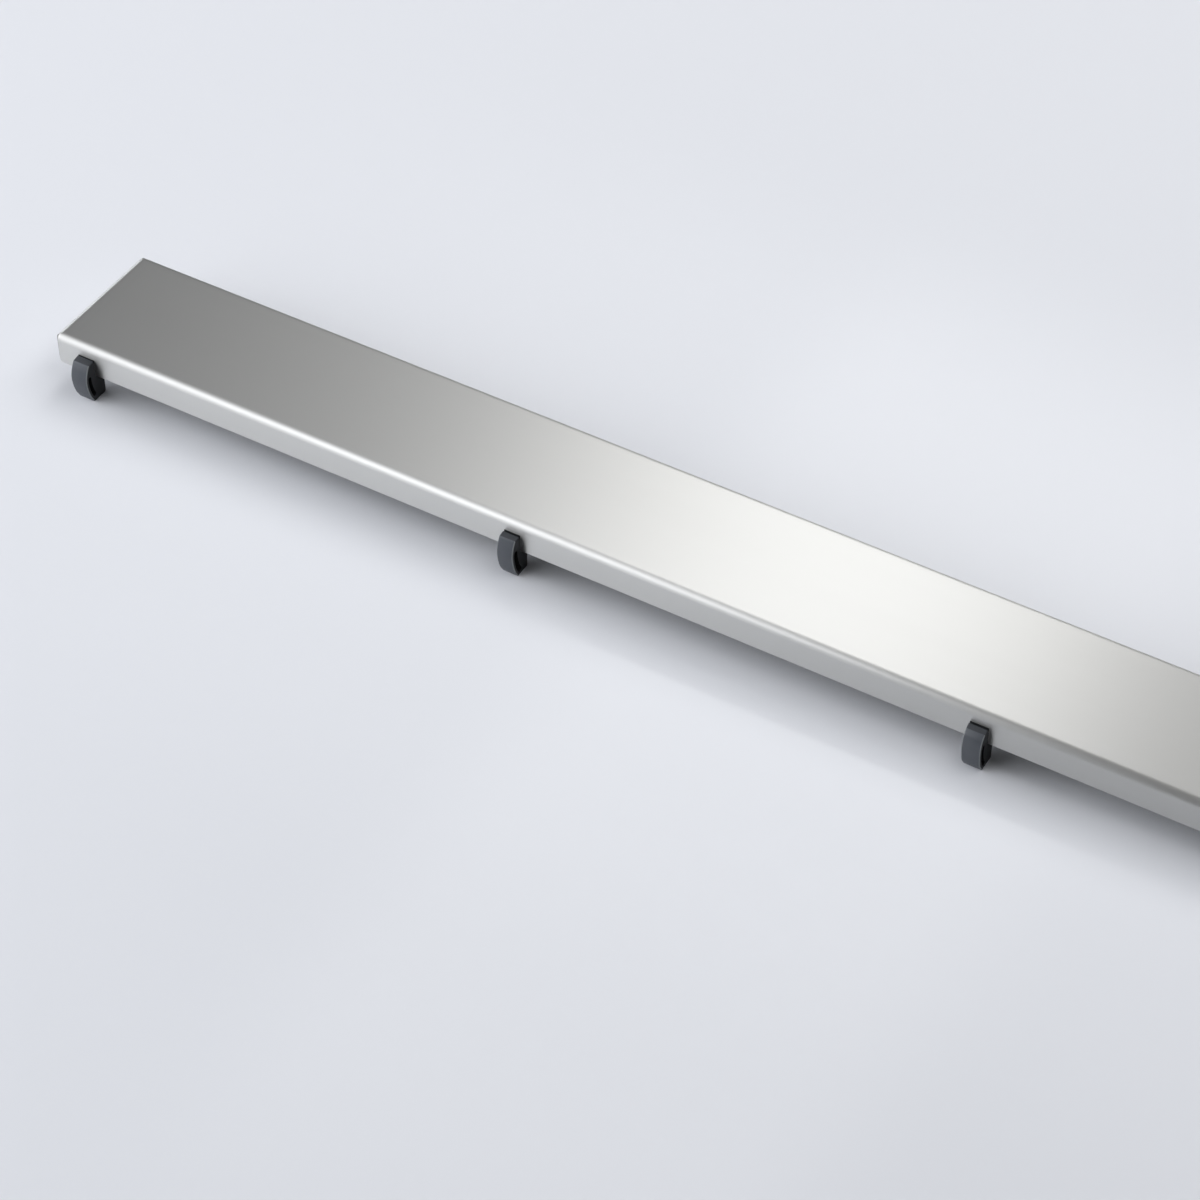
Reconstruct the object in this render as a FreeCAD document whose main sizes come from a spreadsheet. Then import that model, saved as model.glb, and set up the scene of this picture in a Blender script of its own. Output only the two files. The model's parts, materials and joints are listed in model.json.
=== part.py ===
"""Linear shower drain cover: a folded sheet steel plate that stands on soft clips.

Millimetres. +X runs along the cover, +Y is to the back and +Z is up. The origin is under the middle of the
cover, on the surface that the clips stand on.
"""
import FreeCAD, Part
import math
import os
import Sketcher

CLIPS_PER_SIDE = 4

SIZES = (
    # The folded plate
    ("cover_length", 600),
    ("cover_width", 57),
    ("cover_height", 13),
    ("sheet_thickness", 1.5),
    ("inner_bend_radius", 1.5),
    ("corner_gap", 0.1),
    ("flange_corner_radius", 1.5),
    # Where the clips sit on the long flanges
    ("clip_end_inset", 15),
    ("second_clip_shift", 1.6),
    ("slot_clearance", 0.04),
    # The clip's section: heights are above the floor, and rises above the flange's lower edge
    ("clip_length", 7.6),
    ("foot_height", 11),
    ("lip_rise", 7.6),
    ("lip_flare", 0.9),
    ("lip_flare_depth", 3.2),
    ("shoulder_reach", 3.8),
    ("shoulder_drop", 0.35),
    ("bulge_reach", 6),
    ("bulge_rise", 0.2),
    ("toe_reach", 2.1),
    ("leg_thickness", 3.2),
    ("leg_tip_thickness", 1.8),
    ("leg_rise", 6),
    ("outer_wall", 1.9),
    ("chamber_width", 1.6),
    ("chamber_floor", 3.4),
    ("chamber_rise", 3),
    ("heel_radius", 1),
    ("edge_radius", 0.4),
)

# Sizes that follow from the driving ones, as expressions
HALF_LENGTH = "(Sizes.cover_length / 2)"
HALF_WIDTH = "(Sizes.cover_width / 2)"
OUTER_BEND = "(Sizes.inner_bend_radius + Sizes.sheet_thickness)"
INSIDE_HEIGHT = "(Sizes.cover_height - Sizes.sheet_thickness)"
RELIEF = "(Sizes.sheet_thickness + Sizes.corner_gap)"
SLOT_OUTSIDE = "(-Sizes.slot_clearance / 2)"
SLOT_INSIDE = "(Sizes.sheet_thickness + Sizes.slot_clearance / 2)"
LEG_BACK = f"({SLOT_INSIDE} + Sizes.leg_thickness)"
LEG_TOP = "(Sizes.foot_height + Sizes.leg_rise)"
LIP_TOP = "(Sizes.foot_height + Sizes.lip_rise)"
SHOULDER_HEIGHT = f"({LIP_TOP} - Sizes.shoulder_drop)"
BULGE_HEIGHT = "(Sizes.foot_height + Sizes.bulge_rise)"
CHAMBER_TOP = "(Sizes.foot_height + Sizes.chamber_rise)"


def arc_radius(depth, rise):
    """The radius of an arc that leaves the bulge upright and is this far in at this rise."""
    return f"((({depth})^2 + ({rise})^2) / (2 * ({depth})))"


UPPER_RADIUS = arc_radius("Sizes.bulge_reach - Sizes.shoulder_reach", f"{SHOULDER_HEIGHT} - {BULGE_HEIGHT}")
LOWER_RADIUS = arc_radius("Sizes.bulge_reach - Sizes.toe_reach", BULGE_HEIGHT)
CHAMBER_RADIUS = f"({LOWER_RADIUS} - Sizes.outer_wall)"

doc = FreeCAD.newDocument("drain_cover")
sheet = doc.addObject("Spreadsheet::Sheet", "Sizes")
for row, (alias, number) in enumerate(SIZES, start=1):
    sheet.set(f"A{row}", alias)
    sheet.set(f"B{row}", str(number))
    sheet.setAlias(f"B{row}", alias)
doc.recompute()


def size(expression):
    """The present value of an expression of sizes, in millimetres."""
    return float(sheet.evalExpression(expression))


def same(value, expression):
    return abs(value - size(expression)) < 1e-6


def new_body(name):
    body = doc.addObject("PartDesign::Body", name)
    body.Label = name
    return body


def new_sketch(body, plane_role, name):
    """A sketch on one of the body's own origin planes."""
    plane = next(item for item in body.Origin.OriginFeatures if item.Role == plane_role)
    sketch = body.newObject("Sketcher::SketchObject", name)
    sketch.AttachmentSupport = [(plane, "")]
    sketch.MapMode = "FlatFace"
    return sketch


def limit(sketch, kind, elements, expression):
    """A sketch dimension that is bound to an expression of sizes."""
    index = sketch.addConstraint(Sketcher.Constraint(kind, *elements, size(expression)))
    sketch.setExpression(f"Constraints[{index}]", expression)


def place(sketch, geometry, vertex, across, up):
    """Holds a sketch point at its distances from the sketch's origin."""
    for kind, axis, expression in (("DistanceX", -2, across), ("DistanceY", -1, up)):
        distance = size(expression)
        if distance > 0:
            limit(sketch, kind, (-1, 1, geometry, vertex), expression)
        elif distance < 0:
            limit(sketch, kind, (geometry, vertex, -1, 1), f"-1 * ({expression})")
        else:
            sketch.addConstraint(Sketcher.Constraint("PointOnObject", geometry, vertex, axis))


def join(sketch, kind, first, second):
    """Coincident or tangent points, each given as geometry and vertex."""
    sketch.addConstraint(Sketcher.Constraint(kind, *first, *second))


def point(across, up):
    return FreeCAD.Vector(size(across), size(up), 0)


def add_arc(sketch, centre, radius, start, end):
    """An arc that runs anticlockwise between two angles in radians. Returns its number in the sketch."""
    circle = Part.Circle(centre, FreeCAD.Vector(0, 0, 1), radius)
    return sketch.addGeometry(Part.ArcOfCircle(circle, start, end), False)


def draw_lines(sketch, corners, closed):
    """Straight lines from corner to corner, every corner held. Returns the first and last line's numbers."""
    first = sketch.GeometryCount
    ends = corners[1:] + corners[:1] if closed else corners[1:]
    for here, there in zip(corners, ends):
        sketch.addGeometry(Part.LineSegment(point(*here), point(*there)), False)
    last = sketch.GeometryCount - 1
    for line, corner in enumerate(corners[:len(ends)], start=first):
        place(sketch, line, 1, *corner)
    for line in range(first, last):
        join(sketch, "Coincident", (line, 2), (line + 1, 1))
    if closed:
        join(sketch, "Coincident", (last, 2), (first, 1))
    else:
        place(sketch, last, 2, *corners[-1])
    return first, last


def rectangle(half_length, half_width, across="0", up="0"):
    signs = ((-1, -1), (1, -1), (1, 1), (-1, 1))
    return [(f"{across} + {i} * {half_length}", f"{up} + {j} * {half_width}") for i, j in signs]


def add_feature(body, kind, name, **bound_sizes):
    feature = body.newObject(kind, name)
    for property_name, expression in bound_sizes.items():
        feature.setExpression(property_name, expression)
    return feature


def fillet(body, base, name, radius, chosen):
    """Rounds the edges of the base feature for which chosen(edge) is true."""
    feature = add_feature(body, "PartDesign::Fillet", name, Radius=radius)
    feature.Base = (base, [f"Edge{n}" for n, edge in enumerate(base.Shape.Edges, start=1) if chosen(edge)])
    doc.recompute()
    return feature


def pocket_upwards(body, sketch, name, depth):
    """A pocket from the plate's open underside up towards its top."""
    before = body.Shape.Volume
    feature = add_feature(body, "PartDesign::Pocket", name, Length=depth)
    feature.Profile = sketch
    feature.Reversed = True
    doc.recompute()
    if not body.Shape.Volume < before:
        raise RuntimeError(f"{name} cuts nothing")
    return feature


def build_plate():
    """The plate: a sheet folded down along its four sides, with a square relief cut at each corner."""

    def level(edge, height):
        return all(same(vertex.Z, height) for vertex in edge.Vertexes)

    def runs_through_sheet(edge):
        return level(edge, "0") and same(edge.Length, "Sizes.sheet_thickness")

    body = new_body("cover_plate")
    outline = new_sketch(body, "XY_Plane", "plate_outline")
    draw_lines(outline, rectangle(HALF_LENGTH, HALF_WIDTH), closed=True)
    block = add_feature(body, "PartDesign::Pad", "plate_block", Length="Sizes.cover_height")
    block.Profile = outline
    doc.recompute()
    fillet(body, block, "outer_bends", OUTER_BEND, lambda edge: level(edge, "Sizes.cover_height"))

    inside = new_sketch(body, "XY_Plane", "inside_outline")
    inner_length = f"({HALF_LENGTH} - Sizes.sheet_thickness)"
    inner_width = f"({HALF_WIDTH} - Sizes.sheet_thickness)"
    draw_lines(inside, rectangle(inner_length, inner_width), closed=True)
    hollow = pocket_upwards(body, inside, "hollow_inside", INSIDE_HEIGHT)
    fillet(body, hollow, "inner_bends", "Sizes.inner_bend_radius", lambda edge: level(edge, INSIDE_HEIGHT))

    reliefs = new_sketch(body, "XY_Plane", "relief_outlines")
    for i, j in ((-1, -1), (1, -1), (1, 1), (-1, 1)):
        draw_lines(reliefs, rectangle(RELIEF, RELIEF, f"{i} * {HALF_LENGTH}", f"{j} * {HALF_WIDTH}"), closed=True)
    cut = pocket_upwards(body, reliefs, "corner_reliefs", "Sizes.cover_height")
    fillet(body, cut, "flange_corners", "Sizes.flange_corner_radius", runs_through_sheet)
    body.setExpression("Placement.Base.z", "Sizes.foot_height")


def draw_clip_outline(sketch):
    """The clip's outline. Across is inwards from the flange's outer face, and up is from the floor."""
    first, last = draw_lines(sketch, [
        ("-Sizes.toe_reach", "0"),
        (LEG_BACK, "0"),
        (LEG_BACK, "Sizes.foot_height"),
        (f"{SLOT_INSIDE} + Sizes.leg_tip_thickness", LEG_TOP),
        (SLOT_INSIDE, LEG_TOP),
        (SLOT_INSIDE, "Sizes.foot_height"),
        (SLOT_OUTSIDE, "Sizes.foot_height"),
        (SLOT_OUTSIDE, f"{LIP_TOP} - Sizes.lip_flare_depth"),
        (f"{SLOT_OUTSIDE} - Sizes.lip_flare", LIP_TOP),
        ("-Sizes.shoulder_reach", SHOULDER_HEIGHT),
    ], closed=False)
    bulge, level = size("Sizes.bulge_reach"), size(BULGE_HEIGHT)
    upper, lower = size(UPPER_RADIUS), size(LOWER_RADIUS)
    rise = math.asin((size(SHOULDER_HEIGHT) - level) / upper)
    fall = math.asin(level / lower)
    over = add_arc(sketch, FreeCAD.Vector(upper - bulge, level, 0), upper, math.pi - rise, math.pi)
    under = add_arc(sketch, FreeCAD.Vector(lower - bulge, level, 0), lower, math.pi, math.pi + fall)
    place(sketch, over, 2, "-Sizes.bulge_reach", BULGE_HEIGHT)
    for arc in (over, under):
        limit(sketch, "DistanceY", (-1, 1, arc, 3), BULGE_HEIGHT)
    join(sketch, "Coincident", (last, 2), (over, 1))
    join(sketch, "Coincident", (over, 2), (under, 1))
    join(sketch, "Coincident", (under, 2), (first, 1))
    return under


def draw_chamber(sketch, front):
    """The curved chamber behind the clip's front wall: a slot with round ends about the front arc's centre."""
    centre = FreeCAD.Vector(size(LOWER_RADIUS) - size("Sizes.bulge_reach"), size(BULGE_HEIGHT), 0)
    outer, cap = size(CHAMBER_RADIUS), size("Sizes.chamber_width") / 2
    middle = outer - cap
    top = math.pi - math.asin((size(CHAMBER_TOP) - centre.y) / middle)
    bottom = math.pi + math.asin((centre.y - size("Sizes.chamber_floor")) / middle)
    far_side = add_arc(sketch, centre, outer, top, bottom)
    near_side = add_arc(sketch, centre, middle - cap, top, bottom)
    ends = []
    for angle, start in ((top, top - math.pi), (bottom, bottom)):
        along = FreeCAD.Vector(math.cos(angle), math.sin(angle), 0)
        ends.append(add_arc(sketch, centre + along * middle, cap, start, start + math.pi))
    upper_end, lower_end = ends
    join(sketch, "Coincident", (front, 3), (far_side, 3))
    join(sketch, "Coincident", (far_side, 3), (near_side, 3))
    join(sketch, "Tangent", (far_side, 1), (upper_end, 2))
    join(sketch, "Tangent", (near_side, 1), (upper_end, 1))
    join(sketch, "Tangent", (far_side, 2), (lower_end, 1))
    join(sketch, "Tangent", (near_side, 2), (lower_end, 2))
    limit(sketch, "Radius", (far_side,), CHAMBER_RADIUS)
    limit(sketch, "Radius", (upper_end,), "Sizes.chamber_width / 2")
    limit(sketch, "DistanceY", (-1, 1, upper_end, 3), CHAMBER_TOP)
    limit(sketch, "DistanceY", (-1, 1, lower_end, 3), "Sizes.chamber_floor")


def build_clip(name):
    """One clip: a length cut from an extruded section that grips the flange's lower edge."""

    def runs_along(edge, corners):
        return all(any(same(vertex.Y, across) and same(vertex.Z, up) for across, up in corners)
                   for vertex in edge.Vertexes) and same(edge.Length, "Sizes.clip_length")

    heels = [(LEG_BACK, "0")]
    soft_edges = [
        ("-Sizes.toe_reach", "0"),
        ("-Sizes.shoulder_reach", SHOULDER_HEIGHT),
        (f"{SLOT_INSIDE} + Sizes.leg_tip_thickness", LEG_TOP),
        (SLOT_INSIDE, LEG_TOP),
    ]
    body = new_body(name)
    section = new_sketch(body, "YZ_Plane", f"{name}_section")
    front = draw_clip_outline(section)
    draw_chamber(section, front)
    length = add_feature(body, "PartDesign::Pad", f"{name}_length", Length="Sizes.clip_length")
    length.Profile = section
    length.SideType = "Symmetric"
    doc.recompute()
    heel = fillet(body, length, f"{name}_heel", "Sizes.heel_radius", lambda edge: runs_along(edge, heels))
    fillet(body, heel, f"{name}_edges", "Sizes.edge_radius", lambda edge: runs_along(edge, soft_edges))
    return body


def station(number):
    """How far along the cover a clip's middle is, for clips numbered from the left end."""
    spacing = f"(Sizes.cover_length - 2 * Sizes.clip_end_inset) / {CLIPS_PER_SIDE - 1}"
    return f"Sizes.clip_end_inset - {HALF_LENGTH} + {number - 1} * {spacing}"


def build_clips():
    """The clips of both long sides. Those of the back row are turned to face outwards."""
    for number in range(1, CLIPS_PER_SIDE + 1):
        front = build_clip(f"front_clip_{number}")
        # The second clip of the front row is pushed on a little further along than the spacing
        shift = " + Sizes.second_clip_shift" if number == 2 else ""
        front.setExpression("Placement.Base.x", station(number) + shift)
        front.setExpression("Placement.Base.y", f"-{HALF_WIDTH}")
        back = build_clip(f"back_clip_{number}")
        back.Placement.Rotation = FreeCAD.Rotation(FreeCAD.Vector(0, 0, 1), 180)
        back.setExpression("Placement.Base.x", station(number))
        back.setExpression("Placement.Base.y", HALF_WIDTH)


def check_model(bodies):
    """Stops with a message if any feature has failed or any piece isn't one sound solid."""
    for item in doc.Objects:
        if "Invalid" in item.State or "Error" in item.State:
            raise RuntimeError(f"{item.Label} failed: {item.State}")
    for body in bodies:
        if body.Shape.isNull() or not body.Shape.isValid() or len(body.Shape.Solids) != 1:
            raise RuntimeError(f"{body.Label} isn't one sound solid")


build_plate()
build_clips()
doc.recompute()
pieces = [item for item in doc.Objects if item.TypeId == "PartDesign::Body"]
check_model(pieces)
os.makedirs("parts", exist_ok=True)
for piece in pieces:
    piece.Shape.exportStep(f"parts/{piece.Label}.step")
    print(f"{piece.Label}: {piece.Shape.Volume:.1f} mm3, {len(piece.Shape.Faces)} faces")
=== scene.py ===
"""Looks of a linear shower drain cover: a folded, brushed stainless plate that stands on soft rubber clips.

Metres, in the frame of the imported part: +X along the cover, +Y to the back, +Z up from the floor. Sizes in
millimetres are multiplied by MM.
"""
import json
import math
import random

import bmesh
import bpy
from mathutils import Euler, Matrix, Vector

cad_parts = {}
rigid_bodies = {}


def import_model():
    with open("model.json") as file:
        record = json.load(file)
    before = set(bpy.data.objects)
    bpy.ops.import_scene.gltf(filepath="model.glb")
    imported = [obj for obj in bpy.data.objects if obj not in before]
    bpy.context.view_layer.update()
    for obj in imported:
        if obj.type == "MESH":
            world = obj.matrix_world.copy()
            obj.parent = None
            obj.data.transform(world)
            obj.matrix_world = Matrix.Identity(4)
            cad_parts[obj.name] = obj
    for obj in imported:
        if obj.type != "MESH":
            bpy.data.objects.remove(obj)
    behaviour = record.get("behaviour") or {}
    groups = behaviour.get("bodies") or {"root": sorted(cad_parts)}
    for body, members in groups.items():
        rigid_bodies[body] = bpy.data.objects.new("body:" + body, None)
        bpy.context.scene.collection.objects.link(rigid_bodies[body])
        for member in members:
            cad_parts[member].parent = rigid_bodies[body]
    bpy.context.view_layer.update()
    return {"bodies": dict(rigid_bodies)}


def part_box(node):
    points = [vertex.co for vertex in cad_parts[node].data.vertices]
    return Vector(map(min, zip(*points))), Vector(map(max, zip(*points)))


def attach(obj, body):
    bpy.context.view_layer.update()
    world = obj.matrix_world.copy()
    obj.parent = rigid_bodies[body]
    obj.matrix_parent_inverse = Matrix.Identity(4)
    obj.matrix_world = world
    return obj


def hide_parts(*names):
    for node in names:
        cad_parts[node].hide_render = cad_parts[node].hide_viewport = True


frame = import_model()

MM = 0.001

# The folded sheet, as it was cut and bent
SHEET = 1.5 * MM
OUTER_BEND = 3 * MM
CORNER_RELIEF = 1.6 * MM
FLANGE_CORNER = 1.5 * MM
DEBURRED_EDGE = 0.15 * MM

# An edge that turns by more than this is a cut one, and is deburred
CUT_EDGE_TURN = math.radians(50)

# Beside a corner relief, one fold has faded out where the other has turned down by this much
FOLD_FADE = math.radians(45)

# Steps of the sheet's grid, in each stretch from its middle to a flange's edge
FLAT_STEPS = 40
CORNER_STEPS = 6
BEND_STEPS = 12
FLANGE_STEPS = 3

# Distances on the sheet that differ by less than this are the same
ROUNDING_ERROR = 1e-9

# The clip's section. Reach is outward from the flange's face, and heights are above the floor
SLOT_CLEARANCE = 0.02 * MM
LIP_TOP = 18.6 * MM
LIP_EDGE = 0.1 * MM
SEAL_THICKNESS = 0.2 * MM
GROOVE_DEPTH = 1.2 * MM
LEG_THICKNESS = 3.2 * MM
LEG_TIP = 1.8 * MM
LEG_TOP = 17 * MM
HEEL_RADIUS = 1 * MM
SOFT_EDGE = 0.4 * MM
SHOULDER_RADIUS = 0.6 * MM
CHAMBER_WALL = 1.25 * MM
CHAMBER_TOP = 12.8 * MM
CHAMBER_END_STEPS = 8

# The rounded rim round each end of a clip
END_ROUND = 0.35 * MM
END_STEPS = 4

# A clip's creases that turn by more than this stay sharp
CREASE_TURN = math.radians(40)

CLIPS_PER_SIDE = 4

# Numbers of the sheet's finishes, and of the clip's. A clip is bare at its ends, in its slot and on its lip
BRUSHED, MILL, LASER_CUT = range(3)
# The rim finish is painted paler, as a painted highlight, and the shoulder and hollow finishes are painted
# darker, as painted shade
SKIN, BARE, RIM, HOLLOW, SHOULDER = range(5)

# The camera, from the photograph's own perspective, with its lens and sensor in millimetres
CAMERA_PLACE = Vector((0.4069, -0.8076, 0.8845))
CAMERA_DOWN = math.radians(44.205)
CAMERA_LEFT = math.radians(30.743)
CAMERA_LENS = 104.864
CAMERA_SENSOR = 36

# The board reaches this far from the cover's middle, each way
BOARD_REACH = 8

# How much of a softbox's width, and of its length, the fade at each edge takes
SOFTBOX_FADE = 0.25

# The overhead softboxes hang at one height, and the wide fill just clear of them
OVERHEAD = 1.1
FILL_HEIGHT = 1.12
COOL_WHITE = "#f9fbff"

# How bright the room itself is, on the cover's far side and on its near one
ROOM_BEHIND = 0.03
ROOM_IN_FRONT = 0.14


def linear(hex_colour):
    """An sRGB colour such as #8a9096 as linear red, green, blue and alpha."""
    channels = [int(hex_colour[i:i + 2], 16) / 255 for i in (1, 3, 5)]
    return [c / 12.92 if c <= 0.04045 else ((c + 0.055) / 1.055) ** 2.4 for c in channels] + [1]


def add(tree, kind, inputs=None, **settings):
    """Adds a node, sets its properties, and fills or links its inputs."""
    node = tree.nodes.new(kind)
    for name, value in settings.items():
        setattr(node, name, value)
    for name, value in (inputs or {}).items():
        if isinstance(value, bpy.types.NodeSocket):
            tree.links.new(value, node.inputs[name])
        else:
            node.inputs[name].default_value = value
    return node


def new_material(name):
    """A named material and its node tree, which is still empty."""
    material = bpy.data.materials.new(name)
    material.use_nodes = True
    material.node_tree.nodes.clear()
    return material, material.node_tree


def finish_surface(tree, shader):
    """Makes the shader the material's surface."""
    add(tree, "ShaderNodeOutputMaterial", {"Surface": shader.outputs[0]})


def mottle(tree, place, size, detail, fineness=0.5):
    """Soft random light and dark, in patches of this size along X, Y and Z in millimetres."""
    scale = [1 / (length * MM) for length in size]
    spread = add(tree, "ShaderNodeMapping", {"Vector": place, "Scale": scale})
    noise = add(tree, "ShaderNodeTexNoise", {"Vector": spread.outputs[0], "Scale": 1, "Detail": detail,
                                             "Roughness": fineness})
    return noise.outputs[0]


def brushed_stainless():
    """304 stainless sheet, linished along its length: satin, with reflections drawn out across the grain."""
    material, tree = new_material("brushed_stainless")
    sheet = add(tree, "ShaderNodeUVMap", uv_map="developed_sheet").outputs[0]
    # A 240 grit scratch is about 0.06 mm wide and is drawn at 0.2 mm, so that it shows
    scratches = mottle(tree, sheet, (0.2, 25, 1), detail=3, fineness=0.6)
    # The belt presses a little harder along some bands than along others
    belt = mottle(tree, sheet, (3, 180, 1), detail=2)
    rough = add(tree, "ShaderNodeMapRange", {"Value": belt, "From Min": 0.3, "From Max": 0.7,
                                             "To Min": 0.367, "To Max": 0.377})
    bump = add(tree, "ShaderNodeBump", {"Height": scratches, "Strength": 0.06, "Distance": 0.02 * MM})
    tangent = add(tree, "ShaderNodeTangent", direction_type="UV_MAP", uv_map="developed_sheet")
    shader = add(tree, "ShaderNodeBsdfPrincipled", {
        "Base Color": linear("#ccccca"), "Metallic": 1, "Roughness": rough.outputs[0], "Anisotropic": 0.9,
        "Tangent": tangent.outputs[0], "Normal": bump.outputs[0],
    })
    finish_surface(tree, shader)
    return material


def mill_stainless():
    """The sheet's inside, left as it came from the mill: a dull, even grey without grain."""
    material, tree = new_material("mill_stainless")
    place = add(tree, "ShaderNodeTexCoord").outputs["Object"]
    cloud = mottle(tree, place, (8, 8, 8), detail=4)
    rough = add(tree, "ShaderNodeMapRange", {"Value": cloud, "To Min": 0.36, "To Max": 0.46})
    shader = add(tree, "ShaderNodeBsdfPrincipled", {"Base Color": linear("#b4b3b0"), "Metallic": 1,
                                                    "Roughness": rough.outputs[0]})
    finish_surface(tree, shader)
    return material


def laser_cut_stainless():
    """The sheet's cut edge: fine striations through the thickness, a little darker than the faces."""
    material, tree = new_material("laser_cut_stainless")
    place = add(tree, "ShaderNodeTexCoord").outputs["Object"]
    striations = mottle(tree, place, (0.25, 0.25, 0.25), detail=2)
    bump = add(tree, "ShaderNodeBump", {"Height": striations, "Strength": 0.2, "Distance": 0.03 * MM})
    shader = add(tree, "ShaderNodeBsdfPrincipled", {"Base Color": linear("#a5a4a2"), "Metallic": 1,
                                                    "Roughness": 0.42, "Normal": bump.outputs[0]})
    finish_surface(tree, shader)
    return material


def clip_rubber(name, grain, colours, roughness, relief, specular=0.5):
    """The clip's EPDM in one of its finishes: a slightly cloudy colour and sheen over fine relief.

    Grain is the relief's size along X, Y and Z in millimetres, and relief is how deep it looks, from 0 to 1.
    """
    material, tree = new_material(name)
    place = add(tree, "ShaderNodeTexCoord").outputs["Object"]
    lines = mottle(tree, place, grain, detail=3)
    cloud = mottle(tree, place, (3, 3, 3), detail=3)
    tint = add(tree, "ShaderNodeMix", {"Factor": cloud, "A": linear(colours[0]), "B": linear(colours[1])},
               data_type="RGBA")
    rough = add(tree, "ShaderNodeMapRange", {"Value": cloud, "To Min": roughness[0], "To Max": roughness[1]})
    bump = add(tree, "ShaderNodeBump", {"Height": lines, "Strength": relief, "Distance": 0.04 * MM})
    shader = add(tree, "ShaderNodeBsdfPrincipled", {
        "Base Color": tint.outputs[2], "Roughness": rough.outputs[0], "IOR": 1.5,
        "Specular IOR Level": specular, "Normal": bump.outputs[0],
    })
    finish_surface(tree, shader)
    return material


def extruded_rubber():
    """As it leaves the die: blue-black grey with a low sheen and faint lines along the extrusion."""
    return clip_rubber("extruded_rubber", (12, 0.5, 0.5), ("#45494f", "#4b4f55"), (0.36, 0.46), 0.25)


def knife_cut_rubber():
    """The clip's ends, cut across with a knife: matt and darker, with faint drag lines down the face."""
    return clip_rubber("knife_cut_rubber", (0.3, 0.3, 6), ("#202224", "#242628"), (0.6, 0.64), 0.35)


def rim_painted_highlight():
    """The rim round each cut end: a paler grey, a painted highlight where the rounded edge catches the
    light.
    """
    return clip_rubber("rim_painted_highlight", (0.4, 0.4, 0.4), ("#747879", "#7f8385"), (0.46, 0.56), 0.2)


def shoulder_painted_shade():
    """The clip's sloping shoulder: darker, as painted shade, and matt, without the sheen."""
    return clip_rubber("shoulder_painted_shade", (12, 0.5, 0.5), ("#2d3035", "#33363b"), (0.58, 0.66), 0.3)


def hollow_painted_shade():
    """The inside of the clip's chamber: painted near black, as painted shade, and without sheen."""
    return clip_rubber("hollow_painted_shade", (12, 0.5, 0.5), ("#0a0a0b", "#0c0c0d"), (0.75, 0.85), 0.2,
                       specular=0.1)


def gloss_board():
    """The white lacquered board under the cover: a touch cool, with a faint mirror image in its gloss."""
    material, tree = new_material("gloss_board")
    shader = add(tree, "ShaderNodeBsdfPrincipled", {"Base Color": linear("#e0e2e7"), "Roughness": 0.07,
                                                    "IOR": 1.5, "Specular IOR Level": 0.15})
    finish_surface(tree, shader)
    return material


def spaced(start, end, count):
    """Evenly spaced values after the start, up to and with the end."""
    return [start + (end - start) * i / count for i in range(1, count + 1)]


def sheet_stations(half_size, height):
    """Distances over the developed sheet, from its middle to the lower edge of a flange, along one axis.

    Returns them on both sides of the middle, and the distance at which the corner reliefs begin.
    """
    flat = half_size - OUTER_BEND
    relief = half_size - CORNER_RELIEF
    beside_relief = [relief - FLANGE_CORNER] + spaced(relief - FLANGE_CORNER, relief, CORNER_STEPS)
    developed = [s if s <= flat else flat + OUTER_BEND * math.asin((s - flat) / OUTER_BEND)
                 for s in beside_relief]
    bend_end = flat + OUTER_BEND * math.pi / 2
    edge = bend_end + height - OUTER_BEND
    stations = spaced(0, developed[0], FLAT_STEPS)[:-1] + developed
    stations += spaced(developed[-1], bend_end, BEND_STEPS)
    stations += spaced(bend_end, edge - FLANGE_CORNER, FLANGE_STEPS)
    stations += spaced(edge - FLANGE_CORNER, edge, CORNER_STEPS)
    return [-s for s in reversed(stations)] + [0] + stations, developed[-1]


def folded(distance, flat):
    """How far out, how far down and at what tilt a place on the sheet ends up once the flange is folded."""
    side = math.copysign(1, distance)
    past = abs(distance) - flat
    if past <= 0:
        return distance, 0, 0
    angle = min(past / OUTER_BEND, math.pi / 2)
    beyond = max(past - OUTER_BEND * math.pi / 2, 0)
    out = flat + OUTER_BEND * math.sin(angle)
    return side * out, OUTER_BEND * (1 - math.cos(angle)) + beyond, side * angle


def round_corner(along, down, end, bottom):
    """Draws a flange's square lower corner in to a quarter circle."""
    a = (abs(along) - (end - FLANGE_CORNER)) / FLANGE_CORNER
    b = (down - (bottom - FLANGE_CORNER)) / FLANGE_CORNER
    if a <= 0 or b <= 0:
        return along, down
    new_a = a * math.sqrt(1 - b * b / 2)
    new_b = b * math.sqrt(1 - a * a / 2)
    along = math.copysign(end - FLANGE_CORNER + FLANGE_CORNER * new_a, along)
    return along, bottom - FLANGE_CORNER + FLANGE_CORNER * new_b


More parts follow.
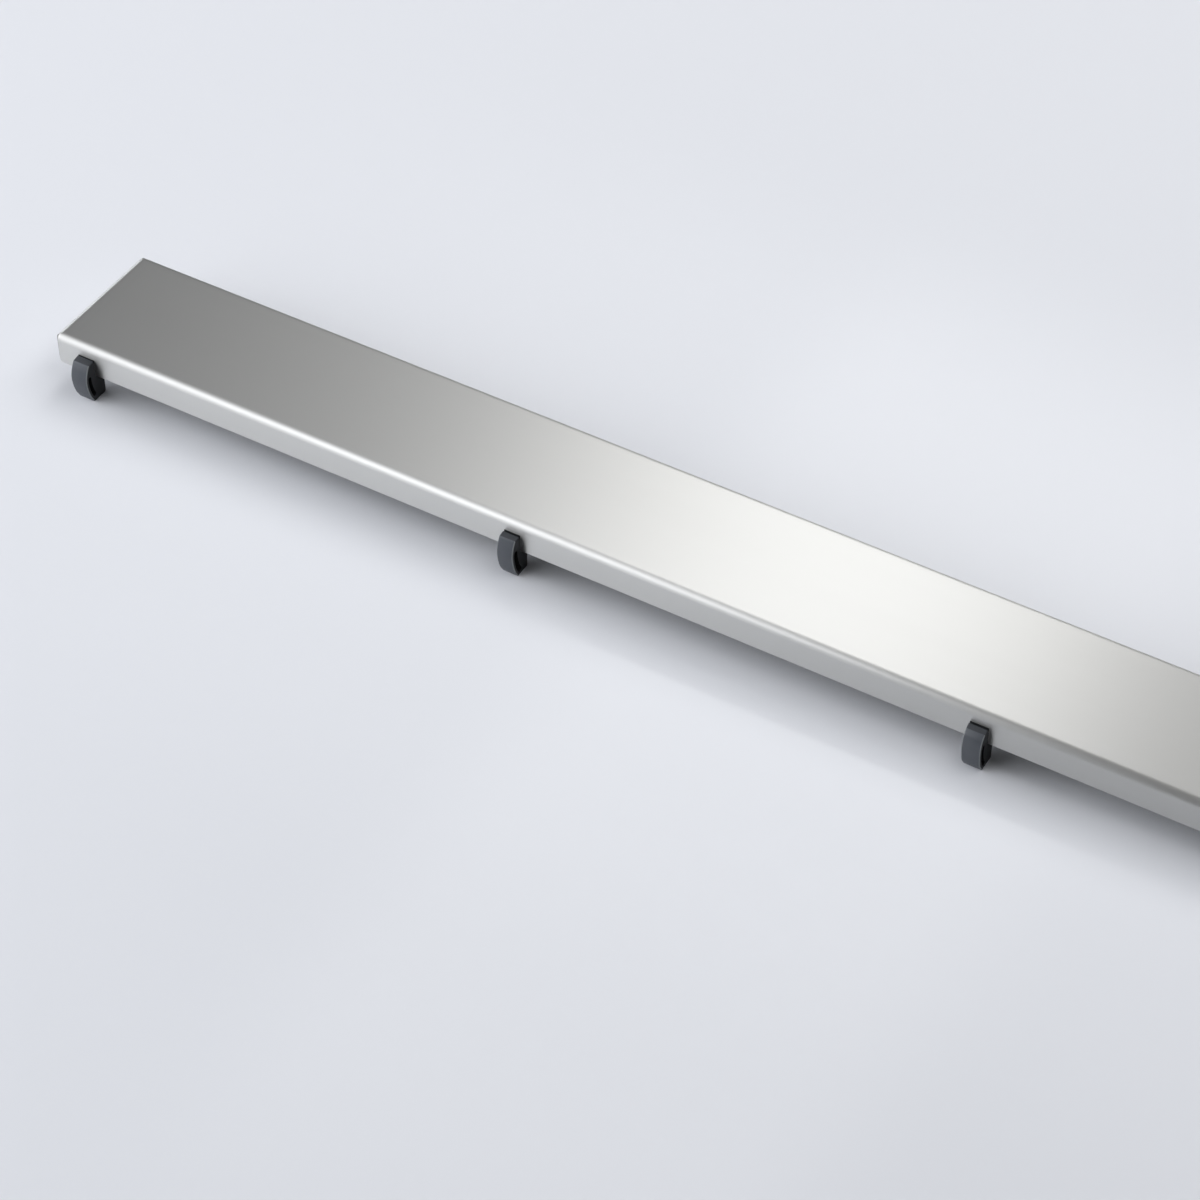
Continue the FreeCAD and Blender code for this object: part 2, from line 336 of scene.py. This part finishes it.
def build_cover(body, finishes):
    """The folded plate: outer and inner faces of the sheet over one grid, joined along the cut edge."""
    low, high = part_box("cover_plate")
    half_length, half_width, top, height = high.x, high.y, high.z, high.z - low.z
    along, long_relief = sheet_stations(half_length, height)
    across, cross_relief = sheet_stations(half_width, height)
    mesh = bmesh.new()
    sheet_map = mesh.loops.layers.uv.new("developed_sheet")

    def beyond(distance, relief):
        return abs(distance) > relief + ROUNDING_ERROR

    def sheet_place(s, t):
        """Where a place of the developed sheet lies once it is folded, and the way that it faces."""
        x, drop_x, tilt_x = folded(s, half_length - OUTER_BEND)
        y, drop_y, tilt_y = folded(t, half_width - OUTER_BEND)
        # Where both folds meet at a corner, the first one fades out as the other turns down
        fade_x = 1 if beyond(s, long_relief) else 1 - min(abs(tilt_y) / FOLD_FADE, 1)
        fade_y = 1 if beyond(t, cross_relief) else 1 - min(abs(tilt_x) / FOLD_FADE, 1)
        drop_x, tilt_x = drop_x * fade_x, tilt_x * fade_x
        drop_y, tilt_y = drop_y * fade_y, tilt_y * fade_y
        if drop_y > OUTER_BEND:
            x, drop_y = round_corner(x, drop_y, half_length - CORNER_RELIEF, height)
        if drop_x > OUTER_BEND:
            y, drop_x = round_corner(y, drop_x, half_width - CORNER_RELIEF, height)
        way = Vector((math.sin(tilt_x), math.sin(tilt_y), math.cos(tilt_x) * math.cos(tilt_y)))
        return Vector((x, y, top - drop_x - drop_y)), way.normalized()

    outer, inner, where = {}, {}, {}
    for i, s in enumerate(along):
        for j, t in enumerate(across):
            if not (beyond(s, long_relief) and beyond(t, cross_relief)):
                place, way = sheet_place(s, t)
                outer[i, j] = mesh.verts.new(place)
                inner[i, j] = mesh.verts.new(place - way * SHEET)
                where[outer[i, j]] = where[inner[i, j]] = (t, s)

    def face(corners, finish):
        made = mesh.faces.new(corners)
        made.material_index = finish
        for loop in made.loops:
            loop[sheet_map].uv = where[loop.vert]

    for i in range(len(along) - 1):
        for j in range(len(across) - 1):
            ring = [(i, j), (i + 1, j), (i + 1, j + 1), (i, j + 1)]
            if all(key in outer for key in ring):
                face([outer[key] for key in ring], BRUSHED)
                face([inner[key] for key in reversed(ring)], MILL)
    partner = {outer[key]: inner[key] for key in outer}
    for edge in [edge for edge in mesh.edges if len(edge.link_faces) == 1 and edge.verts[0] in partner]:
        loop = edge.link_loops[0]
        start, end = loop.vert, loop.link_loop_next.vert
        face([end, start, partner[start], partner[end]], LASER_CUT)
    mesh.normal_update()
    between = [edge for edge in mesh.edges if len({made.material_index for made in edge.link_faces}) == 2]
    cut = [edge for edge in between if edge.calc_face_angle() > CUT_EDGE_TURN]
    bmesh.ops.bevel(mesh, geom=cut, offset=DEBURRED_EDGE, segments=2, profile=0.5, affect="EDGES",
                    material=LASER_CUT, clamp_overlap=True)
    for made in mesh.faces:
        made.smooth = True
    ride_in_place(mesh, "folded_cover", "cover_plate", body, finishes)


def new_object(mesh, name, finishes):
    """Puts the mesh in the scene as an object with these finishes."""
    data = bpy.data.meshes.new(name)
    mesh.to_mesh(data)
    mesh.free()
    for finish in finishes:
        data.materials.append(finish)
    made = bpy.data.objects.new(name, data)
    bpy.context.scene.collection.objects.link(made)
    return made


def ride_in_place(mesh, name, node, body, finishes):
    """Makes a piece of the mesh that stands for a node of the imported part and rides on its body."""
    piece = new_object(mesh, name, finishes)
    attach(piece, body)
    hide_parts(node)
    return piece


def rotate(vector, angle):
    """The vector turned anticlockwise by an angle in radians."""
    return Vector((vector.x * math.cos(angle) - vector.y * math.sin(angle),
                   vector.x * math.sin(angle) + vector.y * math.cos(angle)))


def rounded(corners, steps=4):
    """A closed outline of (point, finish), with an arc at each corner that has a radius.

    A corner is (point, radius, finish).
    """
    outline = []
    for index, (point, radius, finish) in enumerate(corners):
        point = Vector(point)
        if not radius:
            outline.append((point, finish))
            continue
        before = (Vector(corners[index - 1][0]) - point).normalized()
        after = (Vector(corners[(index + 1) % len(corners)][0]) - point).normalized()
        half = before.angle(after) / 2
        centre = point + (before + after).normalized() * (radius / math.sin(half))
        first = point + before * (radius / math.tan(half)) - centre
        last = point + after * (radius / math.tan(half)) - centre
        turn = first.angle_signed(last)
        outline += [(centre + rotate(first, -turn * i / steps), finish) for i in range(steps + 1)]
    return outline


def smooth(points, steps=5):
    """A smooth curve through the points, each span of it a cubic."""
    padded = [points[0] * 2 - points[1]] + points + [points[-1] * 2 - points[-2]]
    curve = []
    for before, start, end, after in zip(padded, padded[1:], padded[2:], padded[3:]):
        slope = end - before
        bend = 2 * before - 5 * start + 4 * end - after
        twist = 3 * start - before - 3 * end + after
        for t in (i / steps for i in range(steps)):
            curve.append(0.5 * (2 * start + slope * t + bend * t ** 2 + twist * t ** 3))
    return curve + [points[-1]]


def inward(curve, distance):
    """The front's curve, which runs downward, moved into the clip."""
    moved = []
    for index, point in enumerate(curve):
        way = (curve[min(index + 1, len(curve) - 1)] - curve[max(index - 1, 0)]).normalized()
        moved.append(point + Vector((way.y, -way.x)) * distance)
    return moved


def chamber_outline(front, width, sole):
    """The long hollow behind the front, above the sole, with round ends."""
    beside = [point for point in front if sole < point.y < CHAMBER_TOP]
    outer = inward(beside, CHAMBER_WALL)
    inner = inward(beside, CHAMBER_WALL + width)
    ends = []
    for start, end in ((outer[0], inner[0]), (inner[-1], outer[-1])):
        middle = (start + end) / 2
        ends.append([middle + rotate(start - middle, turn)
                     for turn in spaced(0, math.pi, CHAMBER_END_STEPS)[:-1]])
    return outer[::-1] + ends[0] + inner + ends[1]


def clip_section(edge_height, gap, front, hollow, sole):
    """The clip's outer outline, as (point, finish), and its chamber.

    A point is (reach, height), with the reach outward from the flange's face.
    """
    leg_face = -SHEET - SLOT_CLEARANCE
    leg_back = leg_face - LEG_THICKNESS
    groove = LIP_TOP - GROOVE_DEPTH
    curve = smooth(front)
    # The shoulder's finish is painted darker, as painted shade
    corners = [((leg_face, LEG_TOP), SOFT_EDGE, BARE), ((leg_face, edge_height), 0, BARE),
               ((SLOT_CLEARANCE, edge_height), 0, BARE), ((SLOT_CLEARANCE, LIP_TOP), 0, BARE),
               ((SEAL_THICKNESS, LIP_TOP), 0, BARE), ((SEAL_THICKNESS, groove), 0, BARE),
               ((gap - SEAL_THICKNESS, groove), 0, BARE), ((gap, LIP_TOP - LIP_EDGE), 0, BARE),
               ((gap + LIP_EDGE, LIP_TOP), 0, SHOULDER), (curve[0], SHOULDER_RADIUS, SKIN)]
    corners += [(point, 0, SKIN) for point in curve[1:] if (point - curve[0]).length > SHOULDER_RADIUS]
    corners += [((leg_back, 0), HEEL_RADIUS, SKIN), ((leg_back, edge_height), 0, SKIN),
                ((leg_face - LEG_TIP, LEG_TOP), SOFT_EDGE, SKIN)]
    # The chamber's finish is painted near black, as painted shade
    return rounded(corners), [(point, HOLLOW) for point in chamber_outline(curve, hollow, sole)]


def solid_side(loop):
    """For each point of a closed outline that runs clockwise, the direction into what it encloses."""
    ways = []
    for index, point in enumerate(loop):
        ahead = (loop[(index + 1) % len(loop)] - point).normalized()
        behind = (point - loop[index - 1]).normalized()
        way = (ahead + behind).normalized()
        ways.append(Vector((way.y, -way.x)))
    return ways


def clip_slices(left, right):
    """Where the section is drawn along the clip, and how far the skin is drawn in there to round off its
    ends.
    """
    turns = [0] + spaced(0, math.pi / 2, END_STEPS)
    rim = [(END_ROUND * (1 - math.cos(turn)), END_ROUND * (1 - math.sin(turn))) for turn in turns]
    return ([(left + along, drawn_in) for along, drawn_in in rim]
            + [(right - along, drawn_in) for along, drawn_in in reversed(rim)])


def draw_wall(mesh, outline, slices, flange_face, side):
    """Draws an outline of the section along the clip, beside the flange's face.

    Returns its rings of vertices, one for each slice.
    """
    points = [point for point, finish in outline]
    ways = solid_side(points)
    rounds_at_ends = [finish in (SKIN, SHOULDER) for point, finish in outline]
    rings = []
    for x, drawn_in in slices:
        spots = [point + way * drawn_in * soft for point, way, soft in zip(points, ways, rounds_at_ends)]
        rings.append([mesh.verts.new((x, side * (flange_face + spot.x), spot.y)) for spot in spots])
    for step, (ring, following) in enumerate(zip(rings, rings[1:])):
        for i in range(len(outline)):
            ahead = (i + 1) % len(outline)
            made = mesh.faces.new((ring[i], ring[ahead], following[ahead], following[i]))
            made.smooth = True
            # What lies between skin and bare rubber is bare, and the skin beside an end is its rim, painted
            # paler as a highlight
            made.material_index = max(outline[i][1], outline[ahead][1]) if rounds_at_ends[i] == rounds_at_ends[ahead] else BARE
            if made.material_index == SKIN and step != END_STEPS:
                made.material_index = RIM
    return rings


def build_clip(name, body, finishes, trim, gap, front, hollow, sole):
    """A length of the soft profile, pushed over the lower edge of a long flange."""
    low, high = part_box(name)
    plate_low, plate_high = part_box("cover_plate")
    side = 1 if low.y + high.y > 0 else -1
    slices = clip_slices(low.x + trim[0], high.x - trim[1])
    mesh = bmesh.new()
    end_edges = ([], [])
    for outline in clip_section(plate_low.z, gap, front, hollow, sole):
        rings = draw_wall(mesh, outline, slices, plate_high.y, side)
        for edges, ring in zip(end_edges, (rings[0], rings[-1])):
            edges += [mesh.edges.get(pair) for pair in zip(ring, ring[1:] + ring[:1])]
    for edges in end_edges:
        for made in bmesh.ops.triangle_fill(mesh, use_beauty=True, edges=edges)["geom"]:
            if isinstance(made, bmesh.types.BMFace):
                made.material_index = BARE
    bmesh.ops.recalc_face_normals(mesh, faces=mesh.faces)
    piece = ride_in_place(mesh, name.replace("clip", "soft_clip"), name, body, finishes)
    piece.data.set_sharp_from_angle(angle=CREASE_TURN)


def clip_shapes():
    """Each clip's shape, in millimetres.

    Trim is what is cut off its two ends, gap how far its lip stands off the flange, hollow the chamber's
    width, and sole how high the chamber starts. The front is (reach, height) from the shoulder to the toe.
    The three clips that show follow the photograph, and the others vary a little, as cut and pushed on by
    hand.
    """
    seen = {
        "front_clip_1": dict(
            trim=(0, 0.2), gap=0.6, hollow=1.7, sole=2.6,
            front=((3.7, 18.2), (5.3, 15), (5.99, 11.5), (5.6, 7.5), (4.4, 3.4), (2.6, 0))),
        "front_clip_2": dict(
            trim=(0.3, 0.5), gap=0.95, hollow=2.2, sole=1.2,
            front=((3.7, 18.3), (5.1, 15), (5.6, 11.5), (5.1, 7.5), (3.9, 3.4), (2, 0))),
        "front_clip_3": dict(
            trim=(0.1, 0.2), gap=1, hollow=1.7, sole=1.2,
            front=((3.2, 17.8), (4.9, 15.5), (5.7, 11.5), (5.5, 7.5), (4.6, 3.4), (2.6, 0))),
    }
    usual = ((3.7, 18.2), (5.2, 15), (5.8, 11.5), (5.4, 7.5), (4.2, 3.4), (2.3, 0))
    chance = random.Random(4)
    shapes = {}
    for side in ("front", "back"):
        for number in range(1, CLIPS_PER_SIDE + 1):
            bulge = chance.uniform(-0.15, 0.15)
            shapes[f"{side}_clip_{number}"] = dict(
                trim=(0, 0), gap=chance.uniform(0.6, 0.9), hollow=chance.uniform(1.6, 2.2),
                sole=chance.uniform(1.2, 2.6), front=[(reach + bulge, height) for reach, height in usual])
    return shapes | seen


def build_clips(body, finishes):
    """The clips of both long sides."""
    for name, clip in clip_shapes().items():
        build_clip(name, body, finishes, trim=[length * MM for length in clip["trim"]],
                   gap=clip["gap"] * MM, front=[Vector(point) * MM for point in clip["front"]],
                   hollow=clip["hollow"] * MM, sole=clip["sole"] * MM)


def build_floor():
    """The white board, far larger than the view."""
    mesh = bmesh.new()
    corners = [(x * BOARD_REACH, y * BOARD_REACH, 0) for x, y in ((-1, -1), (1, -1), (1, 1), (-1, 1))]
    mesh.faces.new([mesh.verts.new(corner) for corner in corners])
    new_object(mesh, "board", [gloss_board()])


def softbox(name, place, aim, size, radiance, tint="#ffffff"):
    """A rectangular soft light that shows in reflections with this radiance and fades out at its edges."""
    data = bpy.data.lights.new(name, "AREA")
    data.shape = "RECTANGLE"
    data.size, data.size_y = size
    data.energy = radiance * math.pi * size[0] * size[1]
    data.color = linear(tint)[:3]
    data.use_nodes = True
    tree = data.node_tree
    tree.nodes.clear()
    across = add(tree, "ShaderNodeTexCoord")
    sides = add(tree, "ShaderNodeSeparateXYZ", {"Vector": across.outputs["UV"]})
    inside = []
    for axis in ("X", "Y"):
        edge = add(tree, "ShaderNodeMath", {0: sides.outputs[axis], 1: 0.5}, operation="PINGPONG")
        fade = add(tree, "ShaderNodeMapRange", {"Value": edge.outputs[0], "From Max": SOFTBOX_FADE},
                   interpolation_type="SMOOTHSTEP")
        inside.append(fade.outputs[0])
    level = add(tree, "ShaderNodeMath", {0: inside[0], 1: inside[1]}, operation="MULTIPLY")
    glow = add(tree, "ShaderNodeEmission", {"Strength": level.outputs[0]})
    add(tree, "ShaderNodeOutputLight", {"Surface": glow.outputs[0]})
    lamp = bpy.data.objects.new(name, data)
    lamp.location = place
    lamp.rotation_euler = (Vector(aim) - Vector(place)).to_track_quat("-Z", "Y").to_euler()
    lamp.visible_camera = False
    bpy.context.scene.collection.objects.link(lamp)


def overhead_softbox(name, height, x_range, y_range, radiance, tint="#ffffff"):
    """A softbox that hangs level and faces straight down."""
    middle = [sum(span) / 2 for span in (x_range, y_range)]
    size = [span[1] - span[0] for span in (x_range, y_range)]
    softbox(name, (*middle, height), (*middle, 0), size, radiance, tint)


def light_studio():
    """Four softboxes overhead and two at the left, in a room that is dark behind and dim in front."""
    overhead_softbox("back_softbox", OVERHEAD, (-0.7, -0.14), (0.15, 1.59), 2.5)
    overhead_softbox("front_softbox", OVERHEAD, (-1.72, -0.19), (-1.76, -0.23), 2.25, COOL_WHITE)
    overhead_softbox("right_softbox", OVERHEAD, (0.04, 0.84), (-0.49, 0.95), 2.6)
    overhead_softbox("wide_fill", FILL_HEIGHT, (-1.36, 1.52), (0.54, 1.59), 1.5)
    softbox("left_softbox", place=(-1.8, -0.65, 0.67), aim=(0, -0.65, 0.67), size=(2.5, 1.34), radiance=6,
            tint=COOL_WHITE)
    softbox("front_left_softbox", place=(-1.145, -1.9, 0.8), aim=(-1.145, 0, 0.8), size=(1.49, 1.12),
            radiance=3.2, tint=COOL_WHITE)
    world = bpy.data.worlds.new("studio")
    world.use_nodes = True
    tree = world.node_tree
    tree.nodes.clear()
    room = add(tree, "ShaderNodeTexCoord")
    way = add(tree, "ShaderNodeSeparateXYZ", {"Vector": room.outputs["Generated"]})
    level = add(tree, "ShaderNodeMapRange", {"Value": way.outputs["Y"], "From Min": 0.1, "From Max": -0.2,
                                             "To Min": ROOM_BEHIND, "To Max": ROOM_IN_FRONT})
    light = add(tree, "ShaderNodeBackground", {"Color": linear("#ffffff"), "Strength": level.outputs[0]})
    add(tree, "ShaderNodeOutputWorld", {"Surface": light.outputs[0]})
    bpy.context.scene.world = world


def place_camera():
    """The photograph's camera, level from side to side."""
    data = bpy.data.cameras.new("camera")
    data.lens = CAMERA_LENS
    data.sensor_width = CAMERA_SENSOR
    camera = bpy.data.objects.new("camera", data)
    camera.location = CAMERA_PLACE
    camera.rotation_euler = Euler((math.pi / 2 - CAMERA_DOWN, 0, CAMERA_LEFT))
    bpy.context.scene.collection.objects.link(camera)
    bpy.context.scene.camera = camera


body = next(iter(frame["bodies"]))
build_cover(body, [brushed_stainless(), mill_stainless(), laser_cut_stainless()])
build_clips(body, [extruded_rubber(), knife_cut_rubber(), rim_painted_highlight(), hollow_painted_shade(), shoulder_painted_shade()])
build_floor()
light_studio()
place_camera()
bpy.context.scene.view_settings.view_transform = "Standard"
